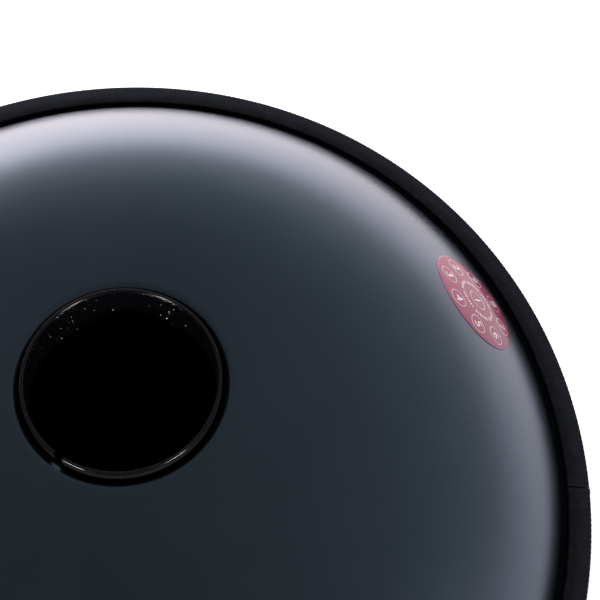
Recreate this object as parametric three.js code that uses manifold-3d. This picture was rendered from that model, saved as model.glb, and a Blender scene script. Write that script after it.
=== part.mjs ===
// A handpan lying with its port side up: two thin steel domes glued flange to flange, a ribbed rubber
// edging over the joint, a split hoop in the port and a round label that maps the notes.
// Millimetres. Z is up, Z = 0 is the face it rests on, and the Z axis runs through the port and the ding.
import * as THREE from "three";
import { mergeVertices } from "three/addons/utils/BufferGeometryUtils.js";
import Module from "manifold-3d";

const wasm = await Module();
wasm.setup();

// Domes
const domeRadius = 258; // where each dome meets its flange
const portDomeHeight = 124; // crown of the port dome above its flange
const portDomeFullness = 2.64; // exponent of the port dome's curve: higher is flatter on top
const dingDomeDepth = 118; // rest face below the flange of the ding dome
const dingDomeFullness = 2.1; // exponent of the ding dome's curve
const steel = 1.2; // sheet thickness
const footFillet = 3; // bend between a dome and its flange

// Flanges and glue
const flangeWidth = 13;
const glueThickness = 0.8;
const glueInset = 1.5; // bare margin on each side of the glue
const clearance = 0.3; // between two pieces that touch

// Port
const neckRadius = 47.7; // inside of the turned-in neck
const rollRadius = 10; // bend from the crown down into the neck
const neckDrop = 24; // from the dome's edge at the port to the end of the neck

// Ding and resting ring
const dingRadius = 52;
const dingDepth = 14; // the ding is pressed inwards
const restRingWidth = 26; // flat ring round the ding, which the instrument rests on
const restRingMargin = 3; // beside the flat ring, where the fields' dents fade out

// Tone fields
const fieldCount = 8;
const largestField = 112; // across the lowest note's field, along the ring
const smallestField = 84; // across the highest note's field
const fieldAspect = 0.86; // width towards the axis over width along the ring
const fieldSink = 2.2; // how far a field's flat lies inside the dome
const fieldBorder = 0.28; // share of a field taken by its soft border
const dimpleSink = 3.2;
const dimpleRadius = 19;

// Rim trim
const trimWall = 2; // above and below the flanges
const trimEdge = 3.2; // outside the flanges
const trimCorner = 1.6;
const trimClearance = 0.8; // between the flange's edge and the bottom of the channel
const trimFootGap = 0.8; // between the trim's lips and the bend of the dome
const trimJoint = 0.4; // butt joint
const trimJointAzimuth = 8.25; // degrees from +X

// Port trim
const hoopThickness = 2.4;
const hoopHeight = 27;
const hoopProud = 4.5; // crest above the dome's edge at the port
const hoopGap = 5;
const hoopGapAzimuth = -112.1;

// Label
const labelRadius = 34.5;
const labelThickness = 0.3;
const labelMargin = 18; // along the dome, from its foot to the label's edge
const labelAzimuth = 35.4;

// Facets
const ringSegments = 56;
const domeSteps = 10;
const bendSteps = 3;
const labelSegments = 32;
const labelRings = 4;

// Heights of the stack, from the rest face up
const dingFlangeTop = dingDomeDepth + steel;
const glueBottom = dingFlangeTop + clearance;
const portFlangeBottom = glueBottom + glueThickness + clearance;
const portFlangeTop = portFlangeBottom + steel;
const midPlane = (dingDomeDepth + portFlangeTop) / 2;
const flangeRadius = domeRadius + flangeWidth;

const point = (radius, height) => new THREE.Vector2(radius, height);
const radians = THREE.MathUtils.degToRad;

// A dome's height above its foot at a radius, falling to 0 at domeRadius and level inside flatRadius.
function domeCurve(height, fullness, flatRadius) {
  const share = (radius) => Math.max(0, radius - flatRadius) / (domeRadius - flatRadius);
  return {
    height: (radius) => height * (1 - share(radius) ** fullness),
    slope: (radius) =>
      Math.atan((fullness * height * share(radius) ** (fullness - 1)) / (domeRadius - flatRadius)),
  };
}

const portDome = domeCurve(portDomeHeight, portDomeFullness, 0);
const restRingRadius = dingRadius + restRingWidth;
const dingDome = domeCurve(dingDomeDepth, dingDomeFullness, restRingRadius);

// Points on an arc, angles in radians from +radius towards +height.
function arc(centre, radius, from, to, steps) {
  return Array.from({ length: steps + 1 }, (_, i) => {
    const angle = from + ((to - from) * i) / steps;
    return point(centre.x + radius * Math.cos(angle), centre.y + radius * Math.sin(angle));
  });
}

// The profile of a flange's face and the bend up to the dome, from the outside in, with the face at height 0.
function footProfile(dome) {
  const slope = dome.slope(domeRadius);
  const bendStart = domeRadius + footFillet * Math.tan(slope / 2);
  const centre = point(bendStart, footFillet);
  const bend = arc(centre, footFillet, -Math.PI / 2, -Math.PI / 2 - slope, bendSteps);
  return [point(flangeRadius, 0), ...bend];
}

// Points on a dome from its foot to innerRadius.
function domeProfile(dome, innerRadius) {
  const foot = domeRadius - footFillet;
  return Array.from({ length: domeSteps + 1 }, (_, i) => {
    const radius = foot + ((innerRadius - foot) * i) / domeSteps;
    return point(radius, dome.height(radius));
  });
}

// The same line moved sideways by a distance, to the right of its direction of travel.
function besideProfile(profile, distance) {
  return profile.map((here, i) => {
    const before = profile[Math.max(0, i - 1)];
    const after = profile[Math.min(profile.length - 1, i + 1)];
    const into = here.clone().sub(before).normalize();
    const outOf = after.clone().sub(here).normalize();
    const along = into.clone().add(outOf).normalize();
    const stretch = Math.max(into.dot(along), outOf.dot(along));
    const side = here.x === 0 ? point(0, Math.sign(-along.x)) : point(along.y, -along.x);
    return here.clone().addScaledVector(side, here.x === 0 ? distance : distance / stretch);
  });
}

// A solid of revolution about Z from a profile that closes on itself or ends on the axis.
function turned(profile) {
  return new THREE.LatheGeometry(profile, ringSegments).rotateX(Math.PI / 2);
}

function closed(profile) {
  return [...profile, profile[0].clone()];
}

// A sheet of steel under an outer profile that runs from the flange's edge inwards.
function sheet(outer, side) {
  const inner = besideProfile(outer, side * steel).reverse();
  const loop = outer.at(-1).x === 0 ? [...inner, ...outer] : closed([...inner, ...outer]);
  return loop;
}

function asSolid(geometry) {
  const bare = geometry.clone();
  bare.deleteAttribute("normal");
  bare.deleteAttribute("uv");
  const merged = mergeVertices(bare, 1e-4);
  return new wasm.Manifold(
    new wasm.Mesh({
      numProp: 3,
      vertProperties: new Float32Array(merged.attributes.position.array),
      triVerts: new Uint32Array(merged.index.array),
    }),
  );
}

function asGeometry(solid) {
  const mesh = solid.getMesh();
  return new THREE.BufferGeometry()
    .setAttribute("position", new THREE.BufferAttribute(mesh.vertProperties, 3))
    .setIndex(new THREE.BufferAttribute(mesh.triVerts, 1));
}

// A ring with a parallel gap cut through it at an azimuth in degrees.
function splitRing(ring, outerRadius, gap, azimuth) {
  const reach = 2 * outerRadius;
  const cutter = new THREE.BoxGeometry(reach, gap, 4 * midPlane)
    .translate(reach / 2, 0, midPlane)
    .rotateZ(radians(azimuth));
  return asGeometry(asSolid(ring).subtract(asSolid(cutter)));
}

// ---- the port side's steel shell
function makePortShell() {
  const rollCentreRadius = neckRadius + rollRadius;
  const slope = portDome.slope(rollCentreRadius);
  const edgeRadius = rollCentreRadius + rollRadius * Math.sin(slope);
  const centre = point(rollCentreRadius, portDome.height(edgeRadius) - rollRadius * Math.cos(slope));
  const roll = arc(centre, rollRadius, Math.PI / 2 - slope, Math.PI, 2 * bendSteps);
  const neckEnd = point(neckRadius, portDome.height(edgeRadius) - neckDrop);
  const outer = [...footProfile(portDome), ...domeProfile(portDome, edgeRadius), ...roll.slice(1), neckEnd];
  return turned(sheet(outer, -1)).translate(0, 0, portFlangeTop);
}

// ---- the playing side's steel shell, upside down
const smoothStep = THREE.MathUtils.smoothstep;

// Fields fall in size as they alternate right and left from the lowest note to the highest opposite it.
function toneFields() {
  return Array.from({ length: fieldCount }, (_, i) => {
    const side = i % 2 ? 1 : -1;
    const width = largestField + ((smallestField - largestField) * i) / (fieldCount - 1);
    return {
      azimuth: -Math.PI / 2 + (side * Math.ceil(i / 2) * 2 * Math.PI) / fieldCount,
      along: width / 2,
      across: (width * fieldAspect) / 2,
    };
  });
}

// How far the hammered fields push the steel inwards at a place on the ding dome.
function fieldPress(x, y) {
  const ringRadius = (restRingRadius + domeRadius) / 2;
  const clearOfRest = smoothStep(Math.hypot(x, y), restRingRadius, restRingRadius + restRingMargin);
  const press = toneFields().map(({ azimuth, along, across }) => {
    const u = -x * Math.sin(azimuth) + y * Math.cos(azimuth);
    const v = x * Math.cos(azimuth) + y * Math.sin(azimuth) - ringRadius;
    const flat = 1 - smoothStep(Math.hypot(u / along, v / across), 1 - fieldBorder, 1);
    const dimple = 1 - smoothStep(Math.hypot(u, v), 0, dimpleRadius);
    return fieldSink * flat + dimpleSink * dimple;
  });
  return clearOfRest * Math.max(...press);
}

function makeDingShell() {
  const ding = Array.from({ length: 2 * bendSteps + 1 }, (_, i) => {
    const share = i / (2 * bendSteps);
    const press = (dingDepth * (1 - Math.cos(Math.PI * share))) / 2;
    return point(dingRadius * (1 - share), dingDomeDepth - press);
  });
  const outer = [...footProfile(dingDome), ...domeProfile(dingDome, restRingRadius), ...ding];
  const upsideDown = outer.map((p) => point(p.x, dingDomeDepth - p.y));
  const geometry = turned(sheet(upsideDown, 1).reverse());
  const place = geometry.attributes.position;
  for (let i = 0; i < place.count; i++) {
    place.setZ(i, place.getZ(i) + fieldPress(place.getX(i), place.getY(i)));
  }
  return geometry;
}

// ---- the ring of glue between the flanges
function makeSeamAdhesive() {
  const inside = domeRadius + glueInset;
  const outside = flangeRadius - glueInset;
  const top = glueBottom + glueThickness;
  return turned(
    closed([point(inside, glueBottom), point(outside, glueBottom), point(outside, top), point(inside, top)]),
  );
}

// ---- the rubber edging over the flanges
function makeRimTrim() {
  const channelHalf = (portFlangeTop - dingDomeDepth) / 2 + clearance;
  const half = channelHalf + trimWall;
  const channelRadius = flangeRadius + trimClearance;
  const outsideRadius = channelRadius + trimEdge;
  const steepest = Math.max(portDome.slope(domeRadius), dingDome.slope(domeRadius));
  const lipRadius = domeRadius + footFillet * Math.tan(steepest / 2) + trimFootGap;
  const cornerRadius = outsideRadius - trimCorner;
  const lower = arc(point(cornerRadius, trimCorner - half), trimCorner, -Math.PI / 2, 0, bendSteps);
  const upper = arc(point(cornerRadius, half - trimCorner), trimCorner, 0, Math.PI / 2, bendSteps);
  const section = [
    point(lipRadius, -half),
    ...lower,
    ...upper,
    point(lipRadius, half),
    point(lipRadius, channelHalf),
    point(channelRadius, channelHalf),
    point(channelRadius, -channelHalf),
    point(lipRadius, -channelHalf),
  ];
  const ring = turned(closed(section)).translate(0, 0, midPlane);
  return splitRing(ring, outsideRadius, trimJoint, trimJointAzimuth);
}

// ---- the split hoop that lines the port
function makePortTrim() {
  const outside = neckRadius - clearance;
  const middle = outside - hoopThickness / 2;
  const crest = portFlangeTop + portDome.height(neckRadius + rollRadius) + hoopProud;
  const bottom = crest - hoopHeight;
  const crown = arc(point(middle, crest - hoopThickness / 2), hoopThickness / 2, 0, Math.PI, 2 * bendSteps);
  const section = [point(outside, bottom), ...crown, point(outside - hoopThickness, bottom)];
  return splitRing(turned(closed(section)), outside, hoopGap, hoopGapAzimuth);
}

// ---- the label, a thin disc laid on the dome
// The radius reached by walking along the dome from a radius: a positive distance goes towards the crown.
function walkUp(from, distance) {
  const strides = 40;
  let radius = from;
  for (let i = 0; i < strides; i++) {
    radius -= (distance / strides) * Math.cos(portDome.slope(radius));
  }
  return radius;
}

function makeNoteLabel() {
  const rings = Array.from({ length: labelRings + 1 }, (_, i) => (labelRadius * i) / labelRings);
  const under = rings.map((radius) => point(radius, 0));
  const over = rings.map((radius) => point(radius, labelThickness)).reverse();
  const disc = new THREE.LatheGeometry([...under, ...over], labelSegments).rotateX(Math.PI / 2);
  const centreRadius = walkUp(domeRadius, labelMargin + labelRadius);
  const place = disc.attributes.position;
  for (let i = 0; i < place.count; i++) {
    const radius = walkUp(centreRadius, place.getY(i));
    const slope = portDome.slope(radius);
    const lift = clearance + place.getZ(i);
    const azimuth = radians(labelAzimuth) + place.getX(i) / radius;
    const reach = radius + lift * Math.sin(slope);
    const height = portFlangeTop + portDome.height(radius) + lift * Math.cos(slope);
    place.setXYZ(i, reach * Math.cos(azimuth), reach * Math.sin(azimuth), height);
  }
  return disc;
}

// ---- finishes and the assembly
const nitridedSteel = new THREE.MeshStandardMaterial({ color: 0x34404a, roughness: 0.32, metalness: 0.9 });
const mattRubber = new THREE.MeshStandardMaterial({ color: 0x14171d, roughness: 0.8, metalness: 0 });
const glossPlastic = new THREE.MeshStandardMaterial({ color: 0x060607, roughness: 0.2, metalness: 0 });
const pinkVinyl = new THREE.MeshStandardMaterial({ color: 0xa63a5c, roughness: 0.3, metalness: 0 });
const curedGlue = new THREE.MeshStandardMaterial({ color: 0x2a2a2c, roughness: 0.6, metalness: 0 });

const group = new THREE.Group();

function add(name, geometry, material) {
  const mesh = new THREE.Mesh(geometry, material);
  mesh.name = name;
  group.add(mesh);
}

add("ding_shell", makeDingShell(), nitridedSteel);
add("seam_adhesive", makeSeamAdhesive(), curedGlue);
add("port_shell", makePortShell(), nitridedSteel);
add("rim_trim", makeRimTrim(), mattRubber);
add("port_trim", makePortTrim(), glossPlastic);
add("note_label", makeNoteLabel(), pinkVinyl);

export default group;
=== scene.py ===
"""A handpan resting port side up: the finished surfaces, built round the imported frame.

Lengths are in metres in the frame's own axes: Z runs up through the ding and the port, and Z = 0 is the
face that the instrument rests on.
"""

import logging
import math
from collections.abc import Callable, Iterable, Mapping, Sequence
from dataclasses import dataclass
from enum import Enum

import bmesh
import bpy
from mathutils import Matrix, Vector, noise


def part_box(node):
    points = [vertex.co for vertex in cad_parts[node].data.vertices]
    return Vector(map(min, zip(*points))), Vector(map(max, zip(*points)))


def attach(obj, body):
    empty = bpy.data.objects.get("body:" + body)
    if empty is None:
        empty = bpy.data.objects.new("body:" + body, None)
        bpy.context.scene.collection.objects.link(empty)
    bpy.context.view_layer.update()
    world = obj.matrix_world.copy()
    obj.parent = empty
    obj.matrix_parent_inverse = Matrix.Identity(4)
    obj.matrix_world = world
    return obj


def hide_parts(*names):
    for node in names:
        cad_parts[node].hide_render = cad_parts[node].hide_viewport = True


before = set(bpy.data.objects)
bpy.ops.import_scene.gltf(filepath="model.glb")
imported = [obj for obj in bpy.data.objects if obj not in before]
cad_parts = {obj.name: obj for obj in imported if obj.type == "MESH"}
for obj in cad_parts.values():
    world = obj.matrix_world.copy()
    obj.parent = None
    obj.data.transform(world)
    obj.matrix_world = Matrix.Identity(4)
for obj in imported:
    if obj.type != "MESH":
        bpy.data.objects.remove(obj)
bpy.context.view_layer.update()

MM = 0.001
FULL_TURN = 2 * math.pi
SECTOR_STEPS = 64
SAME_PLACE = 0.01 * MM
ON_WALL = 0.05 * MM

logging.basicConfig(level=logging.INFO, format="%(relativeCreated)7.0f ms  %(message)s")
log = logging.getLogger("handpan")

Point2 = tuple[float, float]
Colour = tuple[float, float, float]
Paint = Colour | bpy.types.NodeSocket


class Slot(str, Enum):
    """The record's material slots."""

    STEEL = "nitrided_steel"
    RUBBER = "ribbed_rubber"
    GLOSS = "gloss_edging"
    VINYL = "label_vinyl"
    GLUE = "cured_glue"


class Side(Enum):
    """Which way a dome of the instrument bulges."""

    PORT = 1
    DING = -1


# ---------------------------------------------------------------- shader maths


@dataclass(frozen=True)
class Signal:
    """A shader socket that Python's operators turn into Math nodes."""

    bench: "ShaderBench"
    socket: bpy.types.NodeSocket

    def __add__(self, other: "Signal | float") -> "Signal":
        """The sum."""
        return self.bench.maths("ADD", self, other)

    def __rsub__(self, other: float) -> "Signal":
        """The difference, with this signal taken away."""
        return self.bench.maths("SUBTRACT", other, self)

    def __mul__(self, other: "Signal | float") -> "Signal":
        """The product."""
        return self.bench.maths("MULTIPLY", self, other)

    def __pow__(self, other: float) -> "Signal":
        """The power."""
        return self.bench.maths("POWER", self, other)

    __radd__ = __add__
    __rmul__ = __mul__

    def step_up(self, start: float, end: float) -> "Signal":
        """A smooth rise from 0 at start to 1 at end.

        Args:
            start: The value where the rise begins.
            end: The value where it is complete.

        Returns:
            The risen signal.
        """
        node = self.bench.add(
            "ShaderNodeMapRange",
            {"interpolation_type": "SMOOTHSTEP"},
            {"Value": self, "From Min": start, "From Max": end},
        )
        return Signal(self.bench, node.outputs["Result"])


class ShaderBench:
    """Adds nodes to one node tree."""

    def __init__(self, tree: bpy.types.NodeTree) -> None:
        """Starts on an emptied tree.

        Args:
            tree: The tree that the nodes go into.
        """
        self.tree = tree
        tree.nodes.clear()

    def add(
        self,
        kind: str,
        settings: Mapping[str, object] | None = None,
        sockets: Mapping[str | int, object] | None = None,
    ) -> bpy.types.Node:
        """Makes a node, sets its settings, and then fills its sockets.

        Args:
            kind: The node's type name.
            settings: Its own properties.
            sockets: Input name or number to a value, a Signal or a socket.

        Returns:
            The node.
        """
        node = self.tree.nodes.new(kind)
        for name, value in (settings or {}).items():
            setattr(node, name, value)
        for name, value in (sockets or {}).items():
            if isinstance(value, Signal):
                self.tree.links.new(value.socket, node.inputs[name])
            elif isinstance(value, bpy.types.NodeSocket):
                self.tree.links.new(value, node.inputs[name])
            else:
                node.inputs[name].default_value = value
        return node

    def maths(self, operation: str, *values: "Signal | float") -> Signal:
        """One Math node.

        Args:
            operation: The node's operation.
            values: Its inputs, in order.

        Returns:
            Its result.
        """
        node = self.add("ShaderNodeMath", {"operation": operation}, dict(enumerate(values)))
        return Signal(self, node.outputs[0])

    def mix(self, share: Signal, first: Paint, second: Paint) -> bpy.types.NodeSocket:
        """A colour between two colours.

        Args:
            share: 0 for the first, 1 for the second.
            first: A colour or a socket.
            second: A colour or a socket.

        Returns:
            The mixed colour's socket.
        """
        settings = {"data_type": "RGBA"}
        ends = [(*end, 1.0) if isinstance(end, tuple) else end for end in (first, second)]
        node = self.add("ShaderNodeMix", settings, {0: share, 6: ends[0], 7: ends[1]})
        return node.outputs[2]

    def place(self) -> bpy.types.NodeSocket:
        """The object's own coordinates."""
        return self.add("ShaderNodeTexCoord").outputs["Object"]

    def split(self, vector: bpy.types.NodeSocket) -> list[Signal]:
        """The three parts of a vector."""
        return [Signal(self, part) for part in self.add("ShaderNodeSeparateXYZ", None, {0: vector}).outputs]

    def off_axis(self) -> Signal:
        """The distance from the instrument's axis, in metres."""
        east, north, _ = self.split(self.place())
        return (east * east + north * north) ** 0.5

    def height(self) -> Signal:
        """The height over the face that the instrument rests on, in metres."""
        return self.split(self.place())[2]

    def grain(self, scale: float, detail: float, where: bpy.types.NodeSocket | None = None) -> Signal:
        """Smooth noise from 0 to 1.

        Args:
            scale: Lumps in a metre.
            detail: Octaves.
            where: The coordinates, or None for the object's own.

        Returns:
            The noise.
        """
        sockets = {"Vector": where or self.place(), "Scale": scale, "Detail": detail}
        return Signal(self, self.add("ShaderNodeTexNoise", None, sockets).outputs[0])

    def bump(self, height: Signal, depth: float, strength: float = 1.0) -> bpy.types.NodeSocket:
        """A bumped normal.

        Args:
            height: The relief, 0 to 1.
            depth: What 1 stands for, in metres.
            strength: Share of the effect.

        Returns:
            The normal's socket.
        """
        sockets = {"Height": height, "Distance": depth, "Strength": strength}
        return self.add("ShaderNodeBump", None, sockets).outputs["Normal"]

    def seen(self) -> Signal:
        """1 where the camera looks straight at the surface, 0 in reflections and for its light."""
        return Signal(self, self.add("ShaderNodeLightPath").outputs["Is Camera Ray"])

    def blend(self, share: Signal, first: bpy.types.Node, second: bpy.types.Node) -> bpy.types.NodeSocket:
        """A shader between two shaders.

        Args:
            share: 0 for the first, 1 for the second.
            first: A shader node.
            second: A shader node.

        Returns:
            The blended shader's socket.
        """
        ends = {0: share, 1: first.outputs[0], 2: second.outputs[0]}
        return self.add("ShaderNodeMixShader", None, ends).outputs[0]

    def surface(self, sockets: Mapping[str, object]) -> None:
        """Ends the tree in a Principled surface.

        Args:
            sockets: The surface's inputs.
        """
        shader = self.add("ShaderNodeBsdfPrincipled", None, sockets)
        self.add("ShaderNodeOutputMaterial", None, {"Surface": shader.outputs[0]})


# ---------------------------------------------------------------- finishes


@dataclass(frozen=True)
class Finish:
    """A material of the instrument. A finish fills in paint()."""

    name: str = "finish"

    def paint(self, bench: ShaderBench) -> None:
        """Builds the nodes.

        Args:
            bench: The bench on this finish's tree.
        """
        raise NotImplementedError

    def material(self) -> bpy.types.Material:
        """The material, made once and shared.

        Returns:
            The Blender material.
        """
        label = f"{self.name}_finish"
        made = bpy.data.materials.get(label)
        if made is None:
            made = bpy.data.materials.new(label)
            made.use_nodes = True
            self.paint(ShaderBench(made.node_tree))
        return made


@dataclass(frozen=True)
class NitridedSteel(Finish):
    """Dark blue-grey oxide on deep-drawn sheet, satin, with a faint cloudiness from the furnace."""

    name: str = "nitrided_steel"
    deep: Colour = (0.094, 0.136, 0.175)
    pale: Colour = (0.116, 0.16, 0.205)
    # Painted shade: the near-black colour for the crease at the dome's foot.
    crease_shade: Colour = (0.008, 0.009, 0.011)
    crease_start: float = 257.4 * MM
    crease_end: float = 258.5 * MM
    roughness: float = 0.26
    roughness_swing: float = 0.06
    clouds: float = 9.0
    specks: float = 420.0
    pits: float = 900.0
    pit_depth: float = 0.004 * MM
    cloud_share: float = 0.8
    cloud_gloss_share: float = 0.6

    def paint(self, bench: ShaderBench) -> None:
        """Clouds the colour and the gloss, and darkens the crease at the dome's foot to near black, a
        painted shade.

        Args:
            bench: The bench on this finish's tree.
        """
        # Painted shade: from crease_start outwards the steel goes near black, standing in for the shade and
        # dark reflections in the crease.
        crease = bench.off_axis().step_up(self.crease_start, self.crease_end)
        clouds = bench.grain(self.clouds, 3.0).step_up(0.3, 0.7)
        specks = bench.grain(self.specks, 2.0)
        tone = clouds * self.cloud_share + specks * (1 - self.cloud_share)
        haze = clouds * self.cloud_gloss_share + specks * (1 - self.cloud_gloss_share)
        oxide = bench.mix(tone, self.deep, self.pale)
        bench.surface(
            {
                "Base Color": bench.mix(crease, oxide, self.crease_shade),
                "Metallic": 1.0,
                "Roughness": self.roughness + self.roughness_swing * haze,
                "Normal": bench.bump(bench.grain(self.pits, 1.0), self.pit_depth, 0.35),
            }
        )


@dataclass(frozen=True)
class Mottled(Finish):
    """A plain surface that is blotchy in colour and in gloss."""

    first: Colour = (0.0, 0.0, 0.0)
    second: Colour = (1.0, 1.0, 1.0)
    blotches: float = 60.0
    roughness: float = 0.5
    roughness_swing: float = 0.2
    specular: float = 0.5

    def paint(self, bench: ShaderBench) -> None:
        """Mixes the two colours in blotches.

        Args:
            bench: The bench on this finish's tree.
        """
        blotch = bench.grain(self.blotches, 3.0)
        bench.surface(
            {
                "Base Color": bench.mix(blotch, self.first, self.second),
                "Roughness": self.roughness + self.roughness_swing * blotch,
                "Specular IOR Level": self.specular,
            }
        )


@dataclass(frozen=True)
class InnerOxide(Mottled):
    """Dull, nearly black oxide on the inside of the sheet."""

    name: str = "inner_oxide"
    first: Colour = (0.004, 0.004, 0.005)
    second: Colour = (0.009, 0.009, 0.01)
    roughness: float = 0.75
    roughness_swing: float = 0.15
    specular: float = 0.1


@dataclass(frozen=True)
class CuredGlue(Mottled):
    """Dark cured adhesive."""

    name: str = "cured_glue"
    first: Colour = (0.02, 0.02, 0.022)
    second: Colour = (0.05, 0.048, 0.045)
    blotches: float = 90.0
    roughness: float = 0.4
    roughness_swing: float = 0.25


@dataclass(frozen=True)
class RibbedRubber(Finish):
    """Matt black rubber with a slight blue cast and dust specks, with a painted shade: darker on the inner
    lip by the crease, lighter on its outer part.
    """

    name: str = "ribbed_rubber"
    black: Colour = (0.0012, 0.0016, 0.0024)
    dust_and_light: Colour = (0.006, 0.0078, 0.0115)
    # Painted shade: the lip rises from its dark inner part to the lighter outer part between these radii.
    lighter_start: float = 264.0 * MM
    lighter_end: float = 270.0 * MM
    lighter_share: float = 0.65
    specks: float = 160.0
    mould_grain: float = 2600.0
    mould_depth: float = 0.012 * MM

    def paint(self, bench: ShaderBench) -> None:
        """Adds the dust, the painted shade by the crease and a moulded roughness.

        Args:
            bench: The bench on this finish's tree.
        """
        dust = bench.grain(self.specks, 4.0).step_up(0.35, 0.75)
        # Painted shade: the lip is darker towards the crease and lighter outwards, mixed with the real dust
        # specks.
        second_tone = bench.off_axis().step_up(self.lighter_start, self.lighter_end)
        tone_share = second_tone * self.lighter_share + dust * (1 - self.lighter_share)
        bench.surface(
            {
                "Base Color": bench.mix(tone_share, self.black, self.dust_and_light),
                "Roughness": 0.36 + 0.1 * dust,
                "Specular IOR Level": 0.4,
                "Normal": bench.bump(bench.grain(self.mould_grain, 2.0), self.mould_depth, 0.5),
            }
        )


@dataclass(frozen=True)
class GlossEdging(Finish):
    """Glossy black strip, a little hazed by handling, dull on its outer wall and pebbled inside."""

    name: str = "gloss_edging"
    black: Colour = (0.001, 0.001, 0.0012)
    hazed: Colour = (0.002, 0.002, 0.003)
    haze: float = 210.0
    haze_swing: float = 0.08
    roughness: float = 0.1
    dullness: float = 0.5
    crest: float = 248 * MM
    outside: float = 47 * MM
    inside: float = 45 * MM
    soft: float = 0.5 * MM
    pebble: float = 1.4 * MM
    pebble_relief: float = 0.4 * MM

    def paint(self, bench: ShaderBench) -> None:
        """Hazes the gloss, dulls the outer wall and grains the inner one.

        Args:
            bench: The bench on this finish's tree.
        """
        haze = bench.grain(self.haze, 3.0)
        out = bench.off_axis()
        below = 1 - bench.height().step_up(self.crest - 3 * self.soft, self.crest - 2 * self.soft)
        outer = out.step_up(self.outside - self.soft, self.outside - self.soft / 2)
        inner = 1 - out.step_up(self.inside + self.soft / 2, self.inside + self.soft)
        cells = {"Vector": bench.place(), "Scale": 1 / self.pebble}
        stones = bench.add("ShaderNodeTexVoronoi", None, cells)
        relief = Signal(bench, stones.outputs["Distance"]) * inner * below
        bench.surface(
            {
                "Base Color": bench.mix(haze, self.black, self.hazed),
                "Roughness": self.roughness + self.haze_swing * haze + self.dullness * below * outer,
                "Specular IOR Level": 0.35,
                "Normal": bench.bump(relief, self.pebble_relief),
            }
        )


@dataclass(frozen=True)
class LabelVinyl(Finish):
    """Laminated crimson vinyl with a pale cut edge. Its map holds the disc, 1 at the edge."""

    name: str = "label_vinyl"
    crimson: Colour = (0.185, 0.004, 0.052)
    rose: Colour = (0.225, 0.008, 0.066)
    edge: Colour = (0.38, 0.16, 0.22)
    map_name: str = "disc"
    edge_start: float = 0.982
    edge_fade: float = 0.01
    clouds: float = 5.0

    def paint(self, bench: ShaderBench) -> None:
        """Colours the disc by its distance from the middle.

        Args:
            bench: The bench on this finish's tree.
        """
        flat = bench.add("ShaderNodeUVMap", {"uv_map": self.map_name}).outputs[0]
        length = bench.add("ShaderNodeVectorMath", {"operation": "LENGTH"}, {0: flat})
        out = Signal(bench, length.outputs["Value"])
        cloud = bench.grain(self.clouds, 3.0, flat).step_up(0.3, 0.7)
        body = bench.mix(cloud, self.crimson, self.rose)
        rim = out.step_up(self.edge_start, self.edge_start + self.edge_fade)
        bench.surface(
            {
                "Base Color": bench.mix(rim, body, self.edge),
                "Roughness": 0.3 + 0.1 * cloud,
                "Specular IOR Level": 0.2,
                "Coat Weight": 0.42,
                "Coat Roughness": 0.05,
            }
        )


@dataclass(frozen=True)
class LabelInk(Finish):
    """White print under the same gloss as the label."""

    name: str = "label_ink"
    white: Colour = (0.75, 0.7, 0.72)
    second_tone: Colour = (0.62, 0.55, 0.58)
    wear: float = 900.0

    def paint(self, bench: ShaderBench) -> None:
        """Makes the ink a little uneven.

        Args:
            bench: The bench on this finish's tree.
        """
        tone_share = bench.grain(self.wear, 2.0).step_up(0.2, 0.9)
        bench.surface(
            {
                "Base Color": bench.mix(tone_share, self.white, self.second_tone),
                "Roughness": 0.35,
                "Coat Weight": 0.5,
                "Coat Roughness": 0.05,
            }
        )


@dataclass(frozen=True)
class PaleFloor(Finish):
    """The plain pale floor."""

    name: str = "pale_floor"
    white: Colour = (0.92, 0.87, 0.9)
    glow: float = 0.075
    backdrop: float = 1.6
    backdrop_share: float = 0.5

    def paint(self, bench: ShaderBench) -> None:
        """A plain white surface that glows a little, and looks half like a lit backdrop.

        Args:
            bench: The bench on this finish's tree.
        """
        sheet = bench.add(
            "ShaderNodeBsdfPrincipled",
            None,
            {
                "Base Color": (*self.white, 1.0),
                "Roughness": 0.8,
                "Specular IOR Level": 0.1,
                "Emission Color": (*self.white, 1.0),
                "Emission Strength": self.glow,
            },
        )
        lit = bench.add("ShaderNodeEmission", None, {"Strength": self.backdrop})
        share = bench.seen() * self.backdrop_share
        bench.add("ShaderNodeOutputMaterial", None, {"Surface": bench.blend(share, sheet, lit)})


# ---------------------------------------------------------------- mesh work


def arc(centre: Point2, radius: float, start: float, end: float, steps: int) -> list[Point2]:
    """Points on an arc.

    Args:
        centre: Its centre, as distance from the axis and height.
        radius: Its radius.
        start: Its first angle, from outwards towards up.
        end: Its last angle.
        steps: The number of chords.

    Returns:
        The points, both ends included.
    """
    angles = [start + (end - start) * i / steps for i in range(steps + 1)]
    return [(centre[0] + radius * math.cos(a), centre[1] + radius * math.sin(a)) for a in angles]


def smooth_rise(value: float, start: float, end: float) -> float:
    """0 up to start, 1 from end, and smooth between.

    Args:
        value: The place asked about.
        start: Where the rise begins.
        end: Where it is complete.

    Returns:
        The share risen.
    """
    share = min(1.0, max(0.0, (value - start) / (end - start)))
    return share * share * (3 - 2 * share)


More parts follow.
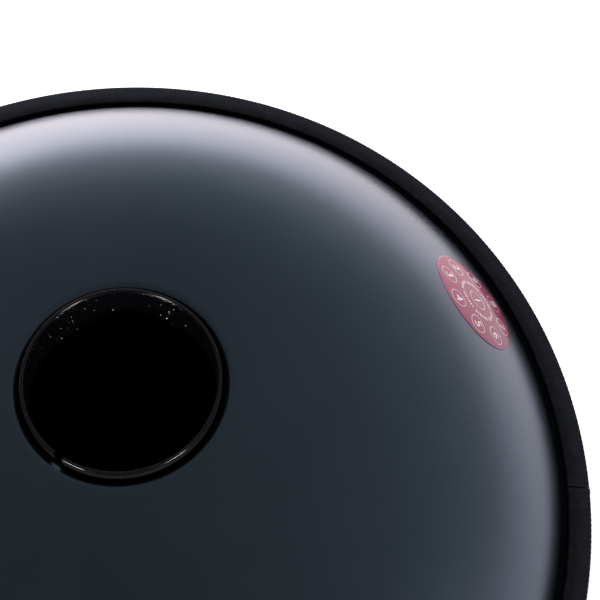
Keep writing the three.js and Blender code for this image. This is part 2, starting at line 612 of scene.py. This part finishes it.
def spin_profile(
    profile: Sequence[Point2], steps: int, closed: bool, sweep: float = FULL_TURN
) -> bmesh.types.BMesh:
    """Spins a profile about Z: a short sector first, which is then doubled until the sweep is full.

    Args:
        profile: Distances from the axis and heights.
        steps: Steps in the sweep.
        closed: Whether the last point joins the first.
        sweep: The angle; less than a full turn leaves two ends, which are capped.

    Returns:
        The turned mesh, with its normals outwards.
    """
    bm = bmesh.new()
    verts = [bm.verts.new((radius, 0.0, height)) for radius, height in profile]
    pairs = list(zip(verts, verts[1:] + verts[:1])) if closed else list(zip(verts, verts[1:]))
    edges = [bm.edges.new(pair) for pair in pairs]
    sector = sweep
    while steps % 2 == 0 and steps > SECTOR_STEPS:
        steps //= 2
        sector /= 2
    whole = math.isclose(sweep, FULL_TURN)
    bmesh.ops.spin(
        bm, geom=verts + edges, cent=(0, 0, 0), axis=(0, 0, 1), dvec=(0, 0, 0),
        angle=sector, steps=steps, use_merge=math.isclose(sector, FULL_TURN),
    )
    while sector < 0.99 * sweep:
        twin = bmesh.ops.duplicate(bm, geom=bm.verts[:] + bm.edges[:] + bm.faces[:])
        moved = [item for item in twin["geom"] if isinstance(item, bmesh.types.BMVert)]
        bmesh.ops.rotate(bm, verts=moved, cent=(0, 0, 0), matrix=Matrix.Rotation(sector, 3, "Z"))
        sector *= 2
    bmesh.ops.remove_doubles(bm, verts=bm.verts[:], dist=SAME_PLACE)
    if not whole:
        bmesh.ops.holes_fill(bm, edges=[e for e in bm.edges if e.is_boundary], sides=0)
    bmesh.ops.recalc_face_normals(bm, faces=bm.faces[:])
    bm.normal_update()
    return bm


def sculpt(bm: bmesh.types.BMesh, move: Callable[[bmesh.types.BMVert], Vector]) -> None:
    """Moves every vertex.

    Args:
        bm: The mesh.
        move: Gives a vertex's new place; it sees every vertex and normal as they were.
    """
    bm.normal_update()
    places = [move(vert) for vert in bm.verts]
    for vert, place in zip(bm.verts, places):
        vert.co = place
    bm.normal_update()


def outwards(place: Vector) -> Vector:
    """The level direction from the axis to a place."""
    return Vector((place.x, place.y, 0)).normalized()


def close_mesh(bm: bmesh.types.BMesh, name: str) -> bpy.types.Mesh:
    """Keeps a mesh under a name and frees the working copy."""
    mesh = bpy.data.meshes.new(name)
    bm.to_mesh(mesh)
    bm.free()
    return mesh


def put_in_scene(name: str, data: bpy.types.ID) -> bpy.types.Object:
    """Makes an object of some data and links it to the scene."""
    made = bpy.data.objects.new(name, data)
    bpy.context.scene.collection.objects.link(made)
    return made


def make_piece(
    bm: bmesh.types.BMesh, name: str, finish: Finish, nodes: Iterable[str], sharp: float = 40.0
) -> bpy.types.Object:
    """Turns a mesh into a piece of the instrument.

    Args:
        bm: The mesh, which is used up.
        name: The piece's name.
        finish: Its finish.
        nodes: The CAD nodes that it stands for.
        sharp: Edges that bend more than this many degrees stay crisp.

    Returns:
        The object, riding on the frame.
    """
    mesh = close_mesh(bm, name)
    mesh.shade_smooth()
    mesh.set_sharp_from_angle(angle=math.radians(sharp))
    mesh.materials.append(finish.material())
    piece = put_in_scene(name, mesh)
    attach(piece, "root")
    for node in nodes:
        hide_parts(node)
    log.info("%s: %d vertices, %d faces", name, len(mesh.vertices), len(mesh.polygons))
    return piece


# ---------------------------------------------------------------- sizes


@dataclass(frozen=True)
class Span:
    """The radius and the heights of one CAD node."""

    radius: float
    low: float
    high: float

    @classmethod
    def of(cls, node: str) -> "Span":
        """Reads the box of a CAD node."""
        low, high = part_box(node)
        return cls(radius=high.x, low=low.z, high=high.z)

    @property
    def middle(self) -> float:
        """The height midway."""
        return (self.low + self.high) / 2

    @property
    def half(self) -> float:
        """Half of what it stands high."""
        return (self.high - self.low) / 2


@dataclass(frozen=True)
class Stack:
    """What the frame fixes: the rim edging, the port shell with its flange, the glue and the hoop."""

    rim: Span
    shell: Span
    glue: Span
    hoop: Span

    @classmethod
    def read(cls) -> "Stack":
        """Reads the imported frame."""
        return cls(*(Span.of(node) for node in ("rim_trim", "port_shell", "seam_adhesive", "port_trim")))


@dataclass(frozen=True)
class DomeCurve:
    """A dome's height over its foot, level inside flat_radius and 0 at radius."""

    radius: float
    rise: float
    fullness: float
    flat_radius: float = 0.0

    def _share(self, out: float) -> float:
        """How far out a radius lies between the flat and the foot, from 0 to 1."""
        return max(0.0, out - self.flat_radius) / (self.radius - self.flat_radius)

    def height(self, out: float) -> float:
        """The height at a distance from the axis."""
        return self.rise * (1 - self._share(out) ** self.fullness)

    def slope(self, out: float) -> float:
        """The slope there, in radians."""
        fall = self.fullness * self.rise * self._share(out) ** (self.fullness - 1)
        return math.atan(fall / (self.radius - self.flat_radius))

    def walk_up(self, out: float, distance: float) -> float:
        """Walks along the dome towards its crown.

        Args:
            out: The radius to start from.
            distance: How far to walk; less than 0 goes towards the foot.

        Returns:
            The radius reached.
        """
        strides = 40
        for _ in range(strides):
            out -= distance / strides * math.cos(self.slope(out))
        return out


# ---------------------------------------------------------------- the two shells


@dataclass
class Shell:
    """What both steel shells share: flange, bend and dome. Profiles run from the flange's edge inwards."""

    stack: Stack
    steel: float = 1.2 * MM
    flange_width: float = 13 * MM
    foot_fillet: float = 1.6 * MM
    bend_steps: int = 8
    dome_steps: int = 64

    @property
    def dome_radius(self) -> float:
        """Where the dome meets the flange."""
        return self.stack.shell.radius - self.flange_width

    def foot(self, dome: DomeCurve) -> list[Point2]:
        """The flange's face and the bend up to the dome.

        Args:
            dome: The dome's curve.

        Returns:
            Points with the flange's face at height 0.
        """
        slope = dome.slope(dome.radius)
        start = dome.radius + self.foot_fillet * math.tan(slope / 2)
        quarter = -math.pi / 2
        bend = arc((start, self.foot_fillet), self.foot_fillet, quarter, quarter - slope, self.bend_steps)
        return [(self.stack.shell.radius, 0.0), *bend]

    def rise(self, dome: DomeCurve, inner: float) -> list[Point2]:
        """Points on the dome from its foot to an inner radius, closer together where it bends more.

        Args:
            dome: The dome's curve.
            inner: The last radius.

        Returns:
            The points.
        """
        outer = dome.radius - self.foot_fillet
        radii = [outer + (inner - outer) * i / self.dome_steps for i in range(self.dome_steps + 1)]
        return [(radius, dome.height(radius)) for radius in radii]

    def thicken(self, bm: bmesh.types.BMesh, side: Side) -> None:
        """Gives the sheet its thickness on its inside.

        Args:
            bm: The outer skin.
            side: The side that the skin faces.
        """
        flange = max(bm.faces, key=lambda face: face.calc_center_median().length_squared)
        if flange.normal.z * side.value < 0:
            bmesh.ops.reverse_faces(bm, faces=bm.faces[:])
        outside = set(bm.faces)
        bmesh.ops.solidify(bm, geom=bm.faces[:], thickness=self.steel)
        bmesh.ops.recalc_face_normals(bm, faces=bm.faces[:])
        for face in bm.faces:
            face.material_index = int(face not in outside)

    @staticmethod
    def dress(piece: bpy.types.Object) -> bpy.types.Object:
        """Gives the inner skin its own finish."""
        piece.data.materials.append(InnerOxide().material())
        return piece


@dataclass
class PortShell(Shell):
    """The dome with the port, whose edge rolls down into a neck."""

    rise_height: float = 124 * MM
    fullness: float = 2.64
    neck_radius: float = 47.7 * MM
    roll_radius: float = 5.5 * MM
    neck_drop: float = 24 * MM
    steps: int = 288

    @property
    def dome(self) -> DomeCurve:
        """The dome's curve."""
        return DomeCurve(self.dome_radius, self.rise_height, self.fullness)

    @property
    def flange_top(self) -> float:
        """Height of the flange's upper face."""
        return self.stack.shell.low + self.steel

    def outer_profile(self) -> list[Point2]:
        """The outside, from the flange's edge to the end of the neck.

        Returns:
            Points with the flange's face at height 0.
        """
        dome = self.dome
        middle = self.neck_radius + self.roll_radius
        slope = dome.slope(middle)
        edge = middle + self.roll_radius * math.sin(slope)
        centre = (middle, dome.height(edge) - self.roll_radius * math.cos(slope))
        roll = arc(centre, self.roll_radius, math.pi / 2 - slope, math.pi, 3 * self.bend_steps)
        end = dome.height(edge) - self.neck_drop
        neck = [(self.neck_radius, centre[1] + (end - centre[1]) * i / 4) for i in range(1, 5)]
        return [*self.foot(dome), *self.rise(dome, edge), *roll[1:], *neck]

    def build(self) -> bpy.types.Object:
        """Spins the outside and thickens it.

        Returns:
            The shell.
        """
        profile = [(out, height + self.flange_top) for out, height in self.outer_profile()]
        bm = spin_profile(profile, self.steps, closed=False)
        self.thicken(bm, Side.PORT)
        return self.dress(make_piece(bm, "port_shell_steel", NitridedSteel(), ["port_shell"]))


@dataclass(frozen=True)
class ToneField:
    """One flattened, dimpled oval of the playing side."""

    azimuth: float
    along: float
    across: float


@dataclass
class DingShell(Shell):
    """The playing dome, bulging down, with an inward ding and a ring of tone fields."""

    depth: float = 118 * MM
    fullness: float = 2.1
    ding_radius: float = 52 * MM
    ding_depth: float = 14 * MM
    rest_ring_width: float = 26 * MM
    rest_ring_margin: float = 3 * MM
    field_count: int = 8
    largest_field: float = 112 * MM
    smallest_field: float = 84 * MM
    field_aspect: float = 0.86
    field_sink: float = 2.2 * MM
    field_border: float = 0.2
    dimple_sink: float = 3.2 * MM
    dimple_radius: float = 19 * MM
    steps: int = 360
    dome_steps: int = 84

    @property
    def rest_radius(self) -> float:
        """Outside of the flat ring that the instrument rests on."""
        return self.ding_radius + self.rest_ring_width

    @property
    def dome(self) -> DomeCurve:
        """The dome's curve."""
        return DomeCurve(self.dome_radius, self.depth, self.fullness, self.rest_radius)

    def fields(self) -> list[ToneField]:
        """The tone fields, alternating right and left from the lowest note to the highest.

        Returns:
            The fields.
        """
        made = []
        shrink = (self.largest_field - self.smallest_field) / (self.field_count - 1)
        for i in range(self.field_count):
            side = 1 if i % 2 else -1
            width = self.largest_field - shrink * i
            turn = side * math.ceil(i / 2) * FULL_TURN / self.field_count
            made.append(ToneField(turn - math.pi / 2, width / 2, width * self.field_aspect / 2))
        return made

    def press(self, x: float, y: float, fields: Sequence[ToneField]) -> float:
        """How far the hammered fields push the steel inwards.

        Args:
            x: Place on the plan.
            y: Place on the plan.
            fields: The tone fields.

        Returns:
            The push, in metres.
        """
        out = math.hypot(x, y)
        clear = smooth_rise(out, self.rest_radius, self.rest_radius + self.rest_ring_margin)
        ring = (self.rest_radius + self.dome_radius) / 2
        deepest = 0.0
        for spot in fields:
            u = -x * math.sin(spot.azimuth) + y * math.cos(spot.azimuth)
            v = x * math.cos(spot.azimuth) + y * math.sin(spot.azimuth) - ring
            oval = math.hypot(u / spot.along, v / spot.across)
            flat = 1 - smooth_rise(oval, 1 - self.field_border, 1.0)
            dimple = 1 - smooth_rise(math.hypot(u, v), 0.0, self.dimple_radius)
            deepest = max(deepest, self.field_sink * flat + self.dimple_sink * dimple)
        return clear * deepest

    def ding_profile(self) -> list[Point2]:
        """The inward ding, from its border to the axis.

        Returns:
            Points with the flange's face at height 0 and the dome rising.
        """
        steps = 3 * self.bend_steps
        shares = [i / steps for i in range(1, steps + 1)]
        return [
            (self.ding_radius * (1 - s), self.depth - self.ding_depth * (1 - math.cos(math.pi * s)) / 2)
            for s in shares
        ]

    def build(self) -> bpy.types.Object:
        """Spins the outside, hammers the fields in and thickens it.

        Returns:
            The shell.
        """
        ring = [(self.rest_radius - self.rest_ring_width * i / 4, self.depth) for i in range(1, 5)]
        dome = [*self.foot(self.dome), *self.rise(self.dome, self.rest_radius)]
        outside = [*dome, *ring, *self.ding_profile()]
        profile = [(out, self.depth - height) for out, height in outside]
        bm = spin_profile(profile, self.steps, closed=False)
        fields = self.fields()
        sculpt(bm, lambda vert: vert.co + Vector((0, 0, self.press(vert.co.x, vert.co.y, fields))))
        self.thicken(bm, Side.DING)
        return self.dress(make_piece(bm, "ding_shell_steel", NitridedSteel(), ["ding_shell"]))


# ---------------------------------------------------------------- edgings and glue


@dataclass
class RimTrim:
    """The ribbed rubber channel over the flanges, with a butt joint."""

    stack: Stack
    wall: float = 2 * MM
    edge: float = 3.2 * MM
    corner: float = 1.6 * MM
    lip_width: float = 14.2 * MM
    lip_round: float = 1.2 * MM
    rib_pitch: float = 3.3 * MM
    rib_height: float = 0.16 * MM
    joint_azimuth: float = math.radians(8.25)
    joint_gap: float = 0.8 * MM
    end_swell: float = 0.45 * MM
    swell_reach: float = 5 * MM
    samples_per_rib: int = 4

    def section(self) -> list[Point2]:
        """The U section about the middle plane.

        Returns:
            A closed loop of points.
        """
        half = self.stack.rim.half
        slot_half = half - self.wall
        outside = self.stack.rim.radius
        slot_floor = outside - self.edge
        lip = outside - self.lip_width
        turn = outside - self.corner
        lip_turn = lip + self.lip_round
        face = [(lip_turn + (turn - lip_turn) * i / 5, half) for i in range(1, 5)]
        upper = [
            *arc((lip_turn, half - self.lip_round), self.lip_round, math.pi, math.pi / 2, 3),
            *face,
            *arc((turn, half - self.corner), self.corner, math.pi / 2, 0, 5),
        ]
        lower = [(out, -height) for out, height in reversed(upper)]
        channel = [(lip, -slot_half), (slot_floor, -slot_half), (slot_floor, slot_half), (lip, slot_half)]
        return [*upper, *lower, *channel]

    def build(self) -> bpy.types.Object:
        """Spins the section, raises the ribs and swells one end.

        Returns:
            The edging.
        """
        radius = self.stack.rim.radius
        ribs = round(FULL_TURN * radius / self.rib_pitch)
        sweep = FULL_TURN - self.joint_gap / radius
        bm = spin_profile(self.section(), ribs * self.samples_per_rib, closed=True, sweep=sweep)
        channel_radius = radius - self.edge
        face_half = self.stack.rim.half - self.wall

        def ribbed(vert: bmesh.types.BMVert) -> Vector:
            """A vertex of the outer faces rides on the ribs and on the swollen end."""
            out = vert.co.xy.length
            outer = out > channel_radius + ON_WALL or abs(vert.co.z) > face_half + ON_WALL
            if not outer:
                return vert.co.copy()
            angle = math.atan2(vert.co.y, vert.co.x) % FULL_TURN
            rib = math.cos(angle * ribs) * self.rib_height
            from_end = (sweep - angle) * radius
            swell = self.end_swell * (1 - smooth_rise(from_end, 0.0, self.swell_reach))
            raised = vert.co + vert.normal * (rib - self.rib_height / 2) / 2
            return raised + outwards(vert.co) * swell if out > channel_radius else raised

        sculpt(bm, ribbed)
        turn = Matrix.Rotation(self.joint_azimuth, 4, "Z")
        lift = Matrix.Translation((0, 0, self.stack.rim.middle))
        bmesh.ops.transform(bm, matrix=lift @ turn, verts=bm.verts[:])
        return make_piece(bm, "rim_edging", RibbedRubber(), ["rim_trim"])


@dataclass
class PortHoop:
    """The split hoop of glossy strip in the port, with pebble grain on its inner wall."""

    stack: Stack
    thickness: float = 2.0 * MM
    gap: float = 5 * MM
    gap_azimuth: float = math.radians(-112.1)
    pebble: float = 1.5 * MM
    grain_height: float = 0.5 * MM
    stone_edge: float = 0.45
    steps: int = 760
    crown_steps: int = 10
    outer_steps: int = 6
    wall_steps: int = 60

    def section(self) -> list[Point2]:
        """The strip's section, with a fine inner wall for the grain.

        Returns:
            A closed loop of points.
        """
        outside = self.stack.hoop.radius
        inside = outside - self.thickness
        half = self.thickness / 2
        top = self.stack.hoop.high - half
        low = self.stack.hoop.low
        crown = arc((outside - half, top), half, 0, math.pi, self.crown_steps)
        outer_wall = [(outside, low + (top - low) * i / self.outer_steps) for i in range(self.outer_steps)]
        step = (top - low) / self.wall_steps
        inner_wall = [(inside, top - step * i) for i in range(1, self.wall_steps + 1)]
        return [*outer_wall, *crown, *inner_wall]

    def build(self) -> bpy.types.Object:
        """Spins the strip and raises the pebbles.

        Returns:
            The hoop.
        """
        radius = self.stack.hoop.radius
        inside = radius - self.thickness
        crest = self.stack.hoop.high
        sweep = FULL_TURN - self.gap / radius
        bm = spin_profile(self.section(), self.steps, closed=True, sweep=sweep)

        def pebbled(vert: bmesh.types.BMVert) -> Vector:
            """A vertex of the inner wall rides on the grain, which fades out below the crest."""
            below = crest - vert.co.z
            if vert.co.xy.length > inside + ON_WALL:
                return vert.co.copy()
            near, far = noise.voronoi(vert.co / self.pebble)[0][:2]
            stone = smooth_rise(far - near, 0.0, self.stone_edge)
            fade = smooth_rise(below, self.thickness / 2, self.thickness * 1.3)
            return vert.co - outwards(vert.co) * (self.grain_height * stone * fade)

        sculpt(bm, pebbled)
        start = self.gap_azimuth + self.gap / radius / 2
        bmesh.ops.rotate(bm, verts=bm.verts[:], cent=(0, 0, 0), matrix=Matrix.Rotation(start, 3, "Z"))
        finish = GlossEdging(crest=crest, outside=radius, inside=inside)
        return make_piece(bm, "port_hoop", finish, ["port_trim"], sharp=60.0)


@dataclass
class SeamGlue:
    """The glue between the flanges, a flat bead with a wandering, rounded edge."""

    stack: Stack
    inset: float = 1.5 * MM
    flange_width: float = Shell.flange_width
    wander: float = 0.6 * MM
    lumps: float = 14.0
    edge_steps: int = 6
    steps: int = 360

    def build(self) -> bpy.types.Object:
        """Spins the bead and lets its edges wander.

        Returns:
            The bead.
        """
        half, middle = self.stack.glue.half, self.stack.glue.middle
        outer = self.stack.shell.radius - self.inset - half
        inner = self.stack.shell.radius - self.flange_width + self.inset + half
        section = [
            *arc((outer, middle), half, -math.pi / 2, math.pi / 2, self.edge_steps),
            *arc((inner, middle), half, math.pi / 2, 1.5 * math.pi, self.edge_steps),
        ]
        bm = spin_profile(section, self.steps, closed=True)

        def wandering(vert: bmesh.types.BMVert) -> Vector:
            """A vertex moves in or out by a slow noise."""
            way = outwards(vert.co)
            return vert.co + way * (noise.noise(way * self.lumps) * self.wander)

        sculpt(bm, wandering)
        return make_piece(bm, "seam_glue", CuredGlue(), ["seam_adhesive"])


# ---------------------------------------------------------------- the label


@dataclass
class NoteLabel:
    """The round label and its print: a numbered ring for each note of the instrument."""

    shell: PortShell
    radius: float = 35.0 * MM
    thickness: float = 0.25 * MM
    margin: float = 16 * MM
    azimuth: float = math.radians(35.6)
    lift: float = 0.05 * MM
    ink: float = 0.03 * MM
    print_gap: float = 0.01 * MM
    line: float = 0.38 * MM
    centre_ring: float = 6.9 * MM
    note_ring: float = 6.2 * MM
    notes_radius: float = 25.5 * MM
    note_count: int = 8
    mark_radius: float = 14 * MM
    mark_count: int = 48
    long_mark: float = 2.2 * MM
    short_mark: float = 1.5 * MM
    digit_height: float = 10.5 * MM
    weld: float = 0.001 * MM
    rings: int = 22
    disc_steps: int = 128
    ring_steps: int = 72

    def lay(self, x: float, y: float, lift: float) -> Vector:
        """Lays a point of the flat disc on the dome.

        Args:
            x: Along the rim from the label's middle.
            y: Towards the crown from its middle.
            lift: Height over the steel.

        Returns:
            The place.
        """
        dome = self.shell.dome
        centre = dome.walk_up(dome.radius, self.margin + self.radius)
        out = dome.walk_up(centre, y)
        slope = dome.slope(out)
        angle = self.azimuth + x / out
        reach = out + lift * math.sin(slope)
        height = self.shell.flange_top + dome.height(out) + lift * math.cos(slope)
        return Vector((reach * math.cos(angle), reach * math.sin(angle), height))

    def lay_all(self, bm: bmesh.types.BMesh, lift: float) -> None:
        """Lays a whole flat mesh on the dome.

        Args:
            bm: The mesh, drawn flat about the label's middle.
            lift: Height of its z = 0 over the steel.
        """
        sculpt(bm, lambda vert: self.lay(vert.co.x, vert.co.y, lift + vert.co.z))
        bmesh.ops.recalc_face_normals(bm, faces=bm.faces[:])

    def build_disc(self) -> bpy.types.Object:
        """The vinyl disc, with its flat place kept as a map.

        Returns:
            The disc.
        """
        radii = [self.radius * i / self.rings for i in range(self.rings + 1)]
        soft = self.thickness / 2
        edge = arc((self.radius - soft, soft), soft, -math.pi / 2, math.pi / 2, 5)
        bottom = [(radius, 0.0) for radius in radii[:-1]]
        top = [(radius, self.thickness) for radius in reversed(radii[:-1])]
        profile = [*bottom, *edge, *top]
        bm = spin_profile(profile, self.disc_steps, closed=False)
        layer = bm.loops.layers.uv.new(LabelVinyl.map_name)
        for face in bm.faces:
            for loop in face.loops:
                loop[layer].uv = (loop.vert.co.x / self.radius, loop.vert.co.y / self.radius)
        self.lay_all(bm, self.lift)
        return make_piece(bm, "label_disc", LabelVinyl(), ["note_label"])

    def draw_ring(self, bm: bmesh.types.BMesh, centre: Point2, radius: float) -> None:
        """Draws one inked ring on the flat label.

        Args:
            bm: The print.
            centre: The ring's middle.
            radius: The middle of its line.
        """
        half = self.line / 2
        inner, outer = radius - half, radius + half
        section = [(inner, 0), (outer, 0), (outer, self.ink), (inner, self.ink)]
        ring = spin_profile(section, self.ring_steps, closed=True)
        bmesh.ops.translate(ring, verts=ring.verts[:], vec=(*centre, 0))
        self.join(bm, ring)

    @staticmethod
    def join(bm: bmesh.types.BMesh, other: bmesh.types.BMesh) -> None:
        """Adds one mesh to another and frees it."""
        mesh = close_mesh(other, "joined")
        bm.from_mesh(mesh)
        bpy.data.meshes.remove(mesh)

    def draw_digit(self, bm: bmesh.types.BMesh, text: str, centre: Point2) -> None:
        """Draws a number, its top towards the rim.

        Args:
            bm: The print.
            text: The number.
            centre: Its middle.
        """
        curve = bpy.data.curves.new("number", "FONT")
        curve.body = text
        curve.size = self.digit_height
        curve.align_x = "CENTER"
        curve.align_y = "CENTER"
        curve.extrude = self.ink / 2
        written = put_in_scene("number", curve)
        shaped = written.evaluated_get(bpy.context.evaluated_depsgraph_get())
        mesh = bpy.data.meshes.new_from_object(shaped)
        bpy.data.objects.remove(written)
        bpy.data.curves.remove(curve)
        upside_down = Matrix.Rotation(math.pi, 4, "Z")
        mesh.transform(Matrix.Translation((*centre, self.ink / 2)) @ upside_down)
        digit = bmesh.new()
        digit.from_mesh(mesh)
        bpy.data.meshes.remove(mesh)
        bmesh.ops.remove_doubles(digit, verts=digit.verts[:], dist=self.weld)
        self.join(bm, digit)

    def draw_mark(self, bm: bmesh.types.BMesh, angle: float, length: float) -> None:
        """Draws one short stroke of the ring of marks.

        Args:
            bm: The print.
            angle: Its place round the ring.
            length: Its length across the ring.
        """
        mark = bmesh.new()
        bmesh.ops.create_cube(mark, size=1.0)
        bmesh.ops.scale(mark, verts=mark.verts[:], vec=(length, self.line * 2.2, self.ink))
        bmesh.ops.translate(mark, verts=mark.verts[:], vec=(self.mark_radius, 0, self.ink / 2))
        bmesh.ops.rotate(mark, verts=mark.verts[:], cent=(0, 0, 0), matrix=Matrix.Rotation(angle, 3, "Z"))
        self.join(bm, mark)

    def build_print(self) -> bpy.types.Object:
        """The rings, numbers and marks.

        Returns:
            The print.
        """
        bm = bmesh.new()
        self.draw_ring(bm, (0.0, 0.0), self.centre_ring)
        self.draw_digit(bm, "1", (0.0, 0.0))
        for i in range(self.note_count):
            angle = FULL_TURN * i / self.note_count
            centre = (self.notes_radius * math.cos(angle), self.notes_radius * math.sin(angle))
            self.draw_ring(bm, centre, self.note_ring)
            self.draw_digit(bm, str(i + 2), centre)
        for i in range(self.mark_count):
            length = self.long_mark if i % 3 else self.short_mark
            if i % self.note_count:
                self.draw_mark(bm, FULL_TURN * i / self.mark_count, length)
        self.lay_all(bm, self.lift + self.thickness + self.print_gap)
        return make_piece(bm, "label_print", LabelInk(), [], sharp=60.0)


# ---------------------------------------------------------------- studio


@dataclass(frozen=True)
class Softbox:
    """A rectangular light. One that shines shows in reflections, and one may be kept to a single piece."""

    name: str
    azimuth: float
    elevation: float
    width: float
    height: float
    radiance: float
    distance: float = 1.5
    colour: Colour = (1.0, 1.0, 1.0)
    shines: bool = True
    only: bpy.types.Object | None = None
    bounces: int = 1024

    def hang(self, target: Vector) -> None:
        """Adds the light.

        Args:
            target: The place it faces.
        """
        lamp = bpy.data.lights.new(self.name, "AREA")
        lamp.shape = "RECTANGLE"
        lamp.size = self.width
        lamp.size_y = self.height
        lamp.energy = self.radiance * math.pi * self.width * self.height
        lamp.color = self.colour
        lamp.cycles.max_bounces = self.bounces
        az, el = math.radians(self.azimuth), math.radians(self.elevation)
        towards = Vector((math.cos(az) * math.cos(el), math.sin(az) * math.cos(el), math.sin(el)))
        hung = put_in_scene(self.name, lamp)
        hung.location = target + towards * self.distance
        hung.rotation_euler = towards.to_track_quat("Z", "Y").to_euler()
        hung.visible_camera = False
        hung.visible_glossy = self.shines
        if self.only is not None:
            lit = bpy.data.collections.new(self.name)
            lit.objects.link(self.only)
            hung.light_linking.receiver_collection = lit


@dataclass
class Studio:
    """Floor, lights, surroundings and camera. The camera's place is in rim radii from the rim's middle."""

    stack: Stack
    camera_x: float = 0.2716
    camera_y: float = -0.555
    camera_z: float = 1.973
    camera_tilt: float = math.radians(27.14)
    camera_roll: float = math.radians(12.12)
    lens: float = 55.65
    sensor: float = 36.0
    floor_size: float = 30.0
    floor_drop: float = 0.1 * MM
    dark: float = 0.105
    band_glow: float = 0.34
    band_height: float = 0.6
    bright_azimuth: float = math.radians(60)
    far_glow: float = 0.5
    glow_height: float = 0.1
    far_azimuth: float = math.radians(105)
    far_focus: float = 6.0
    tint: Colour = (1.02, 0.98, 1.0)
    backdrop: Colour = (1.0, 1.0, 1.0)
    bank_colour: Colour = (1.08, 1.0, 1.0)
    lit_floor: tuple[float, float, float] = (-0.35, 0.5, 0.0)

    def lay_floor(self) -> None:
        """The plain pale floor under the instrument."""
        bm = bmesh.new()
        bmesh.ops.create_grid(bm, x_segments=1, y_segments=1, size=self.floor_size / 2)
        bmesh.ops.translate(bm, verts=bm.verts[:], vec=(0, 0, -self.floor_drop))
        mesh = close_mesh(bm, "floor")
        mesh.materials.append(PaleFloor().material())
        put_in_scene("floor", mesh)

    @staticmethod
    def towards(east: Signal, north: Signal, azimuth: float) -> Signal:
        """How nearly a direction points to an azimuth, from -1 to 1."""
        return east * math.cos(azimuth) + north * math.sin(azimuth)

    def surround(self) -> None:
        """Dim surroundings that glow along the horizon on the far side, and look pale."""
        world = bpy.data.worlds.new("surroundings")
        bpy.context.scene.world = world
        world.use_nodes = True
        bench = ShaderBench(world.node_tree)
        way = bench.add("ShaderNodeTexCoord").outputs["Generated"]
        east, north, up = bench.split(way)
        height = bench.maths("MAXIMUM", up, 0.0)
        bright = self.towards(east, north, self.bright_azimuth) * 0.5 + 0.5
        band = bench.maths("EXPONENT", height * (-1 / self.band_height)) * bright
        far = bench.maths("MAXIMUM", self.towards(east, north, self.far_azimuth), 0.0) ** self.far_focus
        glow = bench.maths("EXPONENT", height * (-1 / self.glow_height)) * far
        level = self.dark + self.band_glow * band + self.far_glow * glow
        dim = bench.add("ShaderNodeBackground", None, {"Color": (*self.tint, 1.0), "Strength": level})
        pale = bench.add("ShaderNodeBackground", None, {"Color": (*self.backdrop, 1.0), "Strength": 1.0})
        bench.add("ShaderNodeOutputWorld", None, {"Surface": bench.blend(bench.seen(), dim, pale)})

    def hang_lights(self) -> None:
        """Two low softboxes for the hoop's glints, and a bank that lights the floor on the far side."""
        port = Vector((0, 0, self.stack.hoop.high))
        hoop = bpy.data.objects["port_hoop"]
        for name, azimuth in (("softbox_right", -35), ("softbox_left", -115)):
            strip = Softbox(
                name, azimuth, elevation=15, width=0.42, height=0.12, radiance=130.0, only=hoop, bounces=0
            )
            strip.hang(port)
        bank = Softbox(
            "far_bank", azimuth=122, elevation=60, width=1.0, height=1.0, radiance=21.5,
            colour=self.bank_colour, shines=False,
        )
        bank.hang(Vector(self.lit_floor))

    def set_camera(self) -> None:
        """The camera, close over the near right shoulder of the port."""
        data = bpy.data.cameras.new("camera")
        data.sensor_width = self.sensor
        data.lens = self.lens
        data.clip_start = 0.01
        data.clip_end = 100
        camera = put_in_scene("camera", data)
        radius = self.stack.rim.radius
        place = Vector((self.camera_x, self.camera_y, self.camera_z)) * radius
        place.z += self.stack.rim.middle
        turn = Matrix.Rotation(self.camera_tilt, 4, "X") @ Matrix.Rotation(self.camera_roll, 4, "Z")
        camera.matrix_world = Matrix.Translation(place) @ turn
        bpy.context.scene.camera = camera

    def build(self) -> None:
        """Sets the whole studio up."""
        self.lay_floor()
        self.surround()
        self.hang_lights()
        self.set_camera()
        bpy.context.scene.view_settings.view_transform = "Standard"


def main() -> None:
    """Builds the instrument and its studio in order."""
    stack = Stack.read()
    port_shell = PortShell(stack)
    label = NoteLabel(port_shell)
    port_shell.build()
    DingShell(stack).build()
    SeamGlue(stack).build()
    RimTrim(stack).build()
    PortHoop(stack).build()
    label.build_disc()
    label.build_print()
    Studio(stack).build()


if __name__ == "__main__":
    main()
